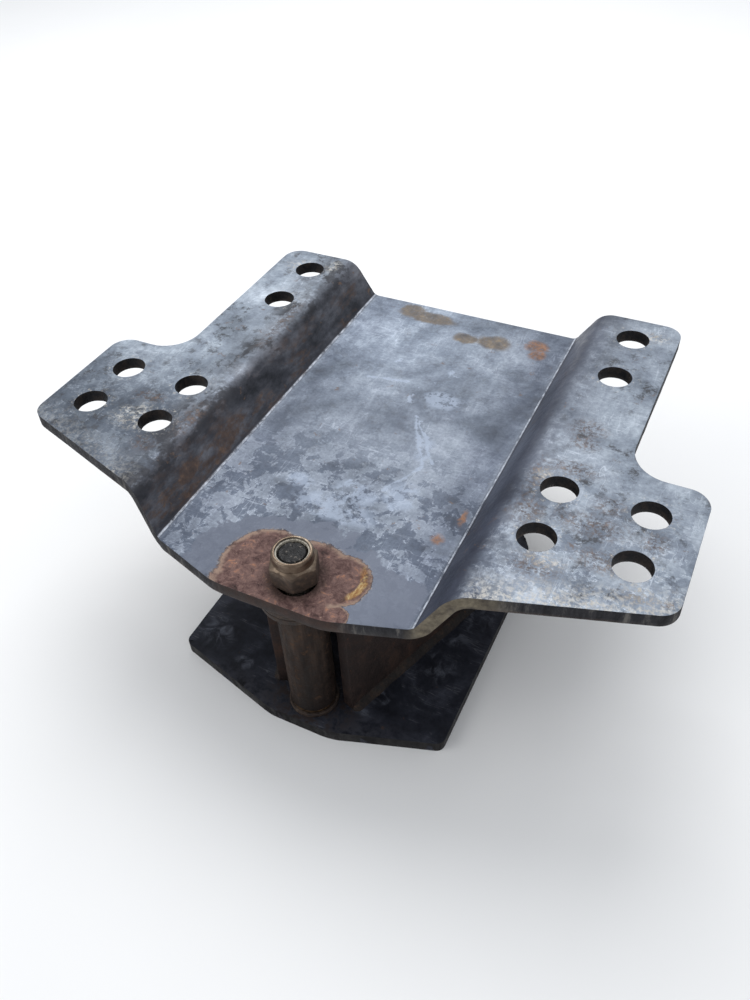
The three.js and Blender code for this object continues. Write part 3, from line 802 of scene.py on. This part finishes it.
def skid_material():
    s = Surface("black_skid_plate")
    grain = s.noise(6 * MM, detail=8.0, roughness=0.7)
    broad = s.noise(40 * MM, detail=7.0, distortion=0.8)
    colour = s.ramp(
        broad,
        (0.3, (0.009, 0.0095, 0.013)), (0.52, (0.019, 0.021, 0.029)), (0.72, (0.046, 0.050, 0.066)),
    )
    colour = s.tinted(colour, grain, (0.6, 0.6, 0.62), (1.35, 1.35, 1.35))
    smudges = s.spots(s.wobbled(16 * MM, 14 * MM), SMUDGES, 0.55)
    chalk = s.times(smudges, s.step(s.noise(11 * MM, detail=6.0, roughness=0.62, distortion=0.8), 0.44, 0.70))
    colour = s.mix(colour, (0.12, 0.13, 0.16), s.times(chalk, 0.8))
    scratch = s.noise(9 * MM, detail=3.0, stretch=(0.12, 1.6, 1))
    lines = s.times(s.step(s.apart(scratch, 0.5), 0.010, 0.003), s.step(broad, 0.5, 0.6))
    colour = s.mix(colour, (0.16, 0.165, 0.18), s.times(lines, 0.35))
    front = s.times(s.step(s.y, -138 * MM, -166 * MM), s.step(grain, 0.35, 0.6))
    colour = s.mix(colour, (0.050, 0.051, 0.062), s.times(front, 0.7))
    colour, rusted = skid_rust(s, grain, colour)
    colour = skid_edges(s, broad, colour)
    roughness = s.step(grain, 0.3, 0.7, 0.42, 0.62)
    roughness = s.math("ADD", roughness, s.times(s.most(chalk, rusted), 0.25), clamp=True)
    normal = s.bump(s.math("ADD", grain, s.times(lines, -0.2)), 0.35 * MM, 0.5)
    return s.finish(colour, roughness, 0.0, normal, specular=0.12)


def build_skid_plate():
    bm = softened("skid_plate", 0.7 * MM, 7 * MM)
    roughen(bm, 0.15 * MM, 40 * MM, lambda vert: vert.co.z < 1 * MM)
    roughen(bm, 0.15 * MM, 4 * MM, on_level_face)
    add_piece(bm, "flat_skid_plate", "skid_plate", skid_material())


# ---------------- webs and weld beads


def rust_material(name, dark, middle, light, lump, pit_depth):
    """Rusted steel: lumps of scale in three shades, with run marks down its faces."""
    s = Surface(name)
    grain = s.noise(lump, detail=9.0, roughness=0.7, distortion=0.4)
    runs = s.noise(2.4 * lump, detail=6.0, stretch=(1, 1, 0.22))
    fine = s.noise(1.6 * MM, detail=7.0, roughness=0.75)
    tone = s.math("ADD", s.times(grain, 0.55), s.times(runs, 0.45))
    colour = s.ramp(tone, (0.36, dark), (0.5, middle), (0.66, light))
    tint = s.ramp(fine, (0.32, (0.55, 0.55, 0.55)), (0.65, (1.3, 1.25, 1.2)))
    colour = s.mix(colour, tint, 0.8, "MULTIPLY")
    orange = s.times(s.step(s.noise(5 * MM, detail=8.0, roughness=0.75), 0.60, 0.70), 0.6)
    colour = s.mix(colour, (light[0] * 1.9, light[1] * 1.2, light[2] * 0.7), orange)
    roughness = s.step(grain, 0.3, 0.7, 0.62, 0.9)
    height = s.math("ADD", s.times(grain, 0.7), s.times(fine, 0.4))
    return s.finish(colour, roughness, 0.0, s.bump(height, pit_depth, 0.7), specular=0.2)


def build_webs():
    # The rust here is painted very dark: painted shade for the shade under the top plate, over the rust's own
    # colour.
    material = rust_material(
        "shaded_rusted_web", (0.009, 0.0065, 0.0065), (0.022, 0.014, 0.0125), (0.052, 0.029, 0.021),
        lump=14 * MM, pit_depth=0.7 * MM,
    )
    for side in ("left", "right"):
        bm = softened(f"{side}_web", 0.6 * MM, 7 * MM)
        roughen(bm, 0.2 * MM, 18 * MM)
        add_piece(bm, f"{side}_side_web", f"{side}_web", material)


def flat_side(node):
    """Unit normal of a web's broad face, and the direction along it towards the rear."""
    upright = [p for p in NODES[node].data.polygons if abs(p.normal.z) < 0.1]
    side = max(upright, key=lambda p: p.area).normal.copy()
    along = Vector((-side.y, side.x, 0))
    return side, along if along.y > 0 else -along


BEAD_PITCH = 2.7 * MM  # from one ripple to the next
BEAD_RINGS = 7  # cross-sections for each ripple
BEAD_POINTS = 10
BEAD_CROWN = 0.13
BEAD_RIPPLE = 0.10
BEAD_WANDER = 0.10
BEAD_LAG = 0.45  # of a ripple, by which the middle of the bead trails its edges
BEAD_END = 1.2  # leg lengths over which each end rounds off
BEAD_END_LOW = 0.06


def bead_section(t, length, leg):
    """Distances from the corner to the face of the bead, from the plate round to the web."""
    end = min(t, length - t) / (BEAD_END * leg)
    taper = math.sqrt(max(BEAD_END_LOW, 1 - (1 - min(end, 1)) ** 2))
    wander = 1 + BEAD_WANDER * noise.noise(Vector((t / (9 * MM), length / MM, 0)))
    reaches = []
    for i in range(BEAD_POINTS):
        angle = math.pi / 2 * i / (BEAD_POINTS - 1)
        middle = math.sin(2 * angle)
        chord = leg / (math.cos(angle) + math.sin(angle))
        phase = (t / BEAD_PITCH - BEAD_LAG * middle) % 1
        ripple = math.sqrt(1 - (2 * phase - 1) ** 2) - 0.5
        reaches.append(chord * taper * wander * (1 + middle * (BEAD_CROWN + BEAD_RIPPLE * ripple)))
    return reaches


def build_bead(node, web, material):
    side, along = flat_side(web)
    points = [vert.co for vert in NODES[node].data.vertices]
    centre = sum(points, Vector()) / len(points)
    web_low, web_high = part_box(web)
    web_centre = (web_low + web_high) / 2
    away = side if (centre - web_centre).dot(side) > 0 else -side
    foot = min(p.dot(away) for p in points) - GAP
    leg = max(p.dot(away) for p in points) - foot
    start = min(p.dot(along) for p in points)
    length = max(p.dot(along) for p in points) - start
    upper = centre.z > web_centre.z
    level = max(p.z for p in points) + GAP if upper else min(p.z for p in points) - GAP
    rise = Vector((0, 0, -1 if upper else 1))
    bm = bmesh.new()
    rings = []
    count = round(length / BEAD_PITCH * BEAD_RINGS)
    for k in range(count + 1):
        t = length * k / count
        corner = away * foot + along * (start + t) + Vector((0, 0, level))
        ring = [bm.verts.new(corner)]
        for i, reach in enumerate(bead_section(t, length, leg)):
            angle = math.pi / 2 * i / (BEAD_POINTS - 1)
            ring.append(bm.verts.new(corner + reach * (math.cos(angle) * away + math.sin(angle) * rise)))
        rings.append(ring)
    join_rings(bm, rings, rings[1:])
    bm.faces.new(rings[0])
    bm.faces.new(rings[-1])
    add_piece(bm, f"rippled_{node}", node, material)


def build_beads():
    material = rust_material(
        "burnt_weld", (0.008, 0.0075, 0.0085), (0.021, 0.017, 0.016), (0.05, 0.034, 0.026),
        lump=5 * MM, pit_depth=0.35 * MM,
    )
    for side in ("left", "right"):
        for place in ("outer_upper", "outer_lower", "inner_upper", "inner_lower"):
            build_bead(f"{side}_{place}_bead", f"{side}_web", material)


# ---------------- bolt, nut and washers


def bolt_material():
    s = Surface("greasy_bolt")
    grain = s.noise(2.6 * MM, detail=8.0, roughness=0.75)
    lumps = s.cells(2.4 * MM)
    broad = s.noise(12 * MM, detail=6.0)
    colour = s.ramp(broad, (0.35, (0.05, 0.04, 0.034)), (0.6, (0.12, 0.095, 0.075)))
    colour = s.tinted(colour, grain, (0.5, 0.5, 0.5), (1.3, 1.3, 1.3))
    end = s.times(s.step(s.z, BOLT_HIGH.z - 2.5 * MM, BOLT_HIGH.z - 1 * MM), s.step(s.normal_z, 0.2, 0.5))
    chunks = s.noise(3.4 * MM, roughness=0.7)
    # Dark grime on the bolt's end, with a painted highlight: the pale top of the ramp paints glints among the
    # grime.
    grime_and_glints = s.ramp(
        chunks, (0.46, (0.003, 0.003, 0.004)), (0.60, (0.011, 0.010, 0.010)), (0.68, (0.20, 0.17, 0.14)),
    )
    colour = s.mix(colour, grime_and_glints, end)
    head = s.step(s.z, 3 * MM, 1 * MM)
    bare = s.ramp(broad, (0.4, (0.10, 0.095, 0.09)), (0.6, (0.24, 0.235, 0.23)))
    colour = s.mix(colour, bare, s.times(head, 0.8))
    roughness = s.step(grain, 0.35, 0.65, 0.18, 0.6)
    normal = s.bump(s.math("ADD", s.times(lumps, -0.6), grain), 0.6 * MM, 0.9)
    return s.finish(colour, roughness, 0.05, normal, specular=0.3)


def head_rows(low):
    """The hex socket, the head's face and its countersink, up to the shank."""
    key = hexagon(KEY_FLATS, 0)
    return [
        (KEY_CHAMFER, low + KEY_DEPTH), (key, low + KEY_DEPTH), (key, low + KEY_CHAMFER),
        (lambda angle: key(angle) + KEY_CHAMFER, low), (HEAD_RADIUS - HEAD_EDGE, low),
        (HEAD_RADIUS, low + HEAD_EDGE), (HEAD_RADIUS, low + HEAD_RIM),
        (BOLT_RADIUS, low + HEAD_RIM + HEAD_DEPTH),
    ]


def thread_rows(start, top):
    """A vee thread that fades in at its start and towards the bolt's end."""
    def thread_at(height):
        fade = min(1, (height - start) / (2 * THREAD_PITCH), max(0.35, (top - height) / THREAD_PITCH))

        def reach(angle):
            turn = (height / THREAD_PITCH - angle / (2 * math.pi)) % 1
            flank = min(1, CREST_SHARE * abs(2 * turn - 1))
            return BOLT_RADIUS - THREAD_SLACK - THREAD_DEPTH * fade * (1 - flank)

        return reach

    count = round(THREAD_LENGTH / (THREAD_PITCH / THREAD_CUTS))
    heights = [start + (top - END_CHAMFER - start) * k / count for k in range(count + 1)]
    return [(thread_at(height), height) for height in heights]


def build_bolt():
    low, top = BOLT_LOW.z, BOLT_HIGH.z
    rows = head_rows(low)
    neck = rows[-1][1]
    thread_start = top - THREAD_LENGTH
    for k in range(1, SHANK_ROWS):
        rows.append((BOLT_RADIUS, neck + (thread_start - neck) * k / SHANK_ROWS))
    rows += thread_rows(thread_start, top)
    end_radius = BOLT_RADIUS - END_INSET
    rows += [(end_radius * (1 - k / END_RINGS), top - END_DROP) for k in range(END_RINGS)]
    bm = spun(rows, closed=False)
    roughen(bm, 0.5 * MM, 1.7 * MM, lambda vert: vert.co.z < top - 2 * END_DROP)
    add_piece(bm, "threaded_through_bolt", "through_bolt", bolt_material())


def nut_material():
    s = Surface("rusting_zinc_nut")
    grain = s.noise(3.4 * MM, detail=8.0, roughness=0.68)
    broad = s.noise(13 * MM, distortion=0.5)
    zinc = s.ramp(
        broad, (0.35, (0.095, 0.064, 0.043)), (0.55, (0.20, 0.150, 0.108)), (0.7, (0.42, 0.36, 0.29)),
    )
    brown = s.ramp(
        grain, (0.3, (0.016, 0.010, 0.008)), (0.55, (0.045, 0.028, 0.020)), (0.75, (0.12, 0.072, 0.042)),
    )
    level = s.math("ADD", s.z, s.centred(broad, 9 * MM))
    low = s.step(level, NUT_LOW.z + NUT_HEX_HEIGHT + 1 * MM, NUT_LOW.z + NUT_HEX_HEIGHT - 6 * MM)
    colour = s.mix(zinc, brown, s.times(low, 0.93))
    stained = s.times(s.step(grain, 0.52, 0.66), 0.6)
    colour = s.mix(colour, (0.085, 0.055, 0.038), stained)
    mouth = s.step(s.away(s.place, BOLT.x, BOLT.y, NUT_MOUTH_RADIUS, NUT_MOUTH_RADIUS), 1.06, 0.98)
    colour = s.mix(colour, (0.03, 0.022, 0.016), s.times(mouth, 0.85))
    dull = s.most(low, stained, mouth)
    roughness = s.step(dull, 0.0, 1.0, 0.33, 0.72)
    metallic = s.step(dull, 0.0, 1.0, 0.75, 0.15)
    normal = s.bump(grain, 0.3 * MM, 0.6)
    return s.finish(colour, roughness, metallic, normal)


def smaller(a, b, blend=0.5 * MM):
    """The smaller of two lengths, with the change from one to the other rounded off."""
    share = max(0, min(1, 0.5 + (b - a) / (2 * blend)))
    return b + (a - b) * share - blend * share * (1 - share) * 0.5


def nut_outline(bottom, hex_top):
    """The hexagon's rows. A turned limit cuts its chamfers and runs into the collar."""
    flat = hexagon(NUT_FLATS, NUT_TURN)
    corner = NUT_FLATS / math.sqrt(3) - 0.25 * MM
    start = NUT_FLATS / 2 - 0.1 * MM
    rows = []
    for k in range(NUT_HEX_ROWS + 1):
        up = NUT_HEX_HEIGHT * k / NUT_HEX_ROWS
        shoulder = NUT_COLLAR_RADIUS + NUT_SHOULDER_SLOPE * (NUT_HEX_HEIGHT - up)
        limit = min(corner, start + NUT_CHAMFER_SLOPE * up, shoulder)
        rows.append((lambda angle, limit=limit: smaller(flat(angle), limit), bottom + up))
    rows.append((NUT_COLLAR_RADIUS + 0.05 * MM, hex_top + 0.6 * MM))
    return rows + [(NUT_COLLAR_RADIUS, hex_top + 1.5 * MM), (NUT_COLLAR_RADIUS, hex_top + 3 * MM)]


def nut_inside(bottom, top):
    """The collar's lip, the groove for the nylon and the bore, from the top down."""
    bore = BOLT_RADIUS + GAP
    groove = bore + NUT_GROOVE_WIDTH + GAP
    shelf, floor = top - NUT_MOUTH_DEPTH, top - NUT_GROOVE_DEPTH
    return [
        (NUT_MOUTH_RADIUS + 0.3 * MM, top - 0.1 * MM), (NUT_MOUTH_RADIUS, top - 0.45 * MM),
        (NUT_MOUTH_RADIUS, shelf), (groove, shelf), (groove, floor), (bore, floor),
        (bore, bottom + NUT_EDGE), (bore + NUT_EDGE, bottom),
    ]


def build_nut():
    bottom, top = NUT_LOW.z, NUT_HIGH.z
    rows = nut_outline(bottom, bottom + NUT_HEX_HEIGHT)
    for k in range(NUT_ROUND_ROWS + 1):
        angle = math.pi / 2 * k / NUT_ROUND_ROWS
        reach = NUT_COLLAR_RADIUS - NUT_COLLAR_ROUND * (1 - math.cos(angle))
        rows.append((reach, top - NUT_COLLAR_ROUND * (1 - math.sin(angle))))
    bm = spun(rows + nut_inside(bottom, top), closed=True)
    roughen(bm, 0.12 * MM, 3.5 * MM)
    add_piece(bm, "collared_lock_nut", "lock_nut", nut_material())


def washer_material():
    s = Surface("stained_washer")
    grain = s.noise(4 * MM, detail=8.0, roughness=0.7)
    fine = s.noise(1.2 * MM, detail=6.0, roughness=0.7)
    colour = s.ramp(
        grain, (0.34, (0.016, 0.011, 0.010)), (0.52, (0.040, 0.027, 0.021)), (0.68, (0.095, 0.068, 0.050)),
    )
    # Painted highlight: a pale tan on the left side of the upper washers' rims, where the light falls.
    left_rim_highlight = s.times(s.step(s.upright, 0.95, 0.4), s.step(s.x, BOLT.x - 12 * MM, BOLT.x - 22 * MM))
    upper = s.step(s.z, 60 * MM, 100 * MM)
    colour = s.mix(colour, (0.30, 0.26, 0.19), s.times(left_rim_highlight, upper, s.step(grain, 0.40, 0.55), 0.8))
    colour = s.tinted(colour, fine, (0.6, 0.6, 0.6), (1.2, 1.2, 1.2), 0.7)
    roughness = s.step(grain, 0.3, 0.7, 0.5, 0.8)
    return s.finish(colour, roughness, 0.0, s.bump(s.math("ADD", grain, fine), 0.3 * MM, 0.6), specular=0.25)


def build_ring(name, node, inner, rounding, material, rough):
    outer, low, high = ring_box(node)
    corners = [Vector(p) for p in ((inner, low), (outer, low), (outer, high), (inner, high))]
    bm = spun([tuple(p) for p in rounded(corners, rounding, 2 * MM)], closed=True)
    roughen(bm, rough, 3 * MM)
    add_piece(bm, name, node, material)


def build_washers():
    material = washer_material()
    inner = BOLT_RADIUS + WASHER_SLACK
    for node in ("upper_washer_1", "upper_washer_2", "lower_washer"):
        build_ring(f"stamped_{node}", node, inner, 0.8 * MM, material, 0.12 * MM)


def nylon_material():
    s = Surface("dirty_nylon")
    grain = s.noise(1.8 * MM, detail=6.0)
    colour = s.ramp(grain, (0.35, (0.16, 0.14, 0.11)), (0.62, (0.50, 0.46, 0.38)))
    return s.finish(colour, s.step(grain, 0.3, 0.7, 0.35, 0.6), 0.0, s.bump(grain, 0.15 * MM, 0.5))


def build_nylon_insert():
    build_ring(
        "nylon_lock_insert", "nylon_insert", BOLT_RADIUS + GAP, 0.3 * MM, nylon_material(),
        rough=0.05 * MM,
    )


# ---------------- roller


def bronze_material():
    s = Surface("dull_bronze")
    turned = s.noise(0.7 * MM, detail=3.0, stretch=(0.15, 0.15, 1))
    grain = s.noise(5 * MM, detail=7.0)
    colour = s.ramp(grain, (0.35, (0.020, 0.012, 0.008)), (0.62, (0.085, 0.050, 0.024)))
    colour = s.tinted(colour, turned, (0.8, 0.8, 0.8), (1.15, 1.15, 1.15), 0.7)
    return s.finish(colour, s.step(grain, 0.3, 0.7, 0.3, 0.6), 0.8, s.bump(turned, 0.08 * MM, 0.6))


def roller_material():
    s = Surface("shaded_rusted_roller")
    runs = s.noise(9 * MM, detail=7.0, roughness=0.62, stretch=(1, 1, 0.13))
    grain = s.noise(6 * MM, detail=9.0, roughness=0.7)
    fine = s.noise(1.4 * MM, detail=6.0, roughness=0.75)
    # The rust here is painted very dark: painted shade for the shade under the top plate, over the rust's own
    # colour.
    colour = s.ramp(
        runs,
        (0.34, (0.0085, 0.0055, 0.0045)), (0.50, (0.021, 0.0135, 0.0105)), (0.66, (0.052, 0.034, 0.025)),
    )
    colour = s.tinted(colour, grain, (0.5, 0.5, 0.52), (1.25, 1.2, 1.15))
    colour = s.mix(colour, (0.085, 0.045, 0.024), s.times(s.step(grain, 0.56, 0.70), 0.7))
    low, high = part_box("roller_sleeve")
    dark = s.step(s.z, low.z + 20 * MM, low.z + 2 * MM)
    colour = s.mix(colour, (0.009, 0.007, 0.007), s.times(dark, s.step(grain, 0.3, 0.6), 0.75))
    wear = s.times(s.step(s.z, high.z - 9 * MM, high.z - 1 * MM), s.step(runs, 0.4, 0.6))
    colour = s.mix(colour, (0.050, 0.040, 0.033), s.times(wear, 0.6))
    height = s.math("ADD", s.times(grain, 0.6), s.times(fine, 0.4))
    roughness = s.step(grain, 0.3, 0.7, 0.5, 0.82)
    return s.finish(colour, roughness, 0.0, s.bump(height, 0.5 * MM, 0.7), specular=0.15)


def build_roller():
    build_ring(
        "rusted_roller_sleeve", "roller_sleeve", SLEEVE_BORE, 0.9 * MM, roller_material(),
        rough=0.22 * MM,
    )
    material = bronze_material()
    bore = BOLT_RADIUS + BUSH_SLACK
    barrel = SLEEVE_BORE - GAP
    for name in ("lower_bush", "upper_bush"):
        outer, low, high = ring_box(name)
        if name == "lower_bush":
            lower, upper, edge = outer, barrel, low + BUSH_FLANGE
        else:
            lower, upper, edge = barrel, outer, high - BUSH_FLANGE
        corners = ((bore, low), (lower, low), (lower, edge), (upper, edge), (upper, high), (bore, high))
        section = rounded([Vector(p) for p in corners], 0.35 * MM, 3 * MM)
        bm = spun([tuple(p) for p in section], closed=True)
        add_piece(bm, f"flanged_{name}", name, material)


# ---------------- floor, light and camera


FLOOR_SIZE = 30
FLOOR_DROP = 0.1 * MM


def pale_floor():
    s = Surface("pale_floor")
    grain = s.noise(300 * MM, detail=3.0)
    colour = s.ramp(grain, (0.3, (0.86, 0.86, 0.86)), (0.7, (0.88, 0.88, 0.88)))
    material = s.finish(colour, 0.9, 0.0, s.bump(grain, 0.01 * MM, 0.1))
    bpy.ops.mesh.primitive_plane_add(size=FLOOR_SIZE, location=(0, 0, -FLOOR_DROP))
    floor = bpy.context.object
    floor.name = "floor"
    floor.data.materials.append(material)


def area_light(name, place, target, size, energy, colour):
    light = bpy.data.lights.new(name, "AREA")
    light.shape = "DISK"
    light.size = size
    light.energy = energy
    light.color = colour
    holder = bpy.data.objects.new(name, light)
    bpy.context.scene.collection.objects.link(holder)
    holder.location = place
    holder.rotation_euler = (Vector(target) - Vector(place)).to_track_quat("-Z", "Y").to_euler()


def light_scene():
    world = bpy.data.worlds.new("soft_room")
    world.use_nodes = True
    background = world.node_tree.nodes["Background"]
    background.inputs["Color"].default_value = (0.93, 0.96, 1.0, 1)
    background.inputs["Strength"].default_value = 0.75
    bpy.context.scene.world = world
    middle = (0, 0, 0.1)
    area_light("overhead_softbox", (-0.5, 1.0, 1.9), middle, 1.6, 26, (1, 1, 1))
    area_light("front_fill", (-1.3, -1.2, 1.3), middle, 1.2, 7, (1, 0.98, 0.95))


CAMERA_PLACE = Vector((0.22210, -0.43601, 0.54920))
CAMERA_AZIMUTH = math.radians(28.2)
CAMERA_ELEVATION = math.radians(44.0)
CAMERA_ROLL = math.radians(-3.17)
CAMERA_LENS = 31.18
CAMERA_SENSOR = 36


def add_camera():
    data = bpy.data.cameras.new("photo_view")
    data.lens = CAMERA_LENS
    data.sensor_width = CAMERA_SENSOR
    data.clip_start = 0.01
    camera = bpy.data.objects.new("photo_view", data)
    bpy.context.scene.collection.objects.link(camera)
    across = math.cos(CAMERA_ELEVATION)
    back = Vector((
        math.sin(CAMERA_AZIMUTH) * across, -math.cos(CAMERA_AZIMUTH) * across, math.sin(CAMERA_ELEVATION),
    ))
    level = (-back).to_track_quat("-Z", "Y").to_matrix()
    camera.matrix_world = Matrix.Translation(CAMERA_PLACE) @ (
        level @ Matrix.Rotation(CAMERA_ROLL, 3, "Z")
    ).to_4x4()
    bpy.context.scene.camera = camera
    bpy.context.scene.view_settings.view_transform = "Standard"


# ---------------- the whole object

build_top_plate()
build_skid_plate()
build_webs()
build_beads()
build_bolt()
build_nut()
build_washers()
build_nylon_insert()
build_roller()
pale_floor()
light_scene()
add_camera()
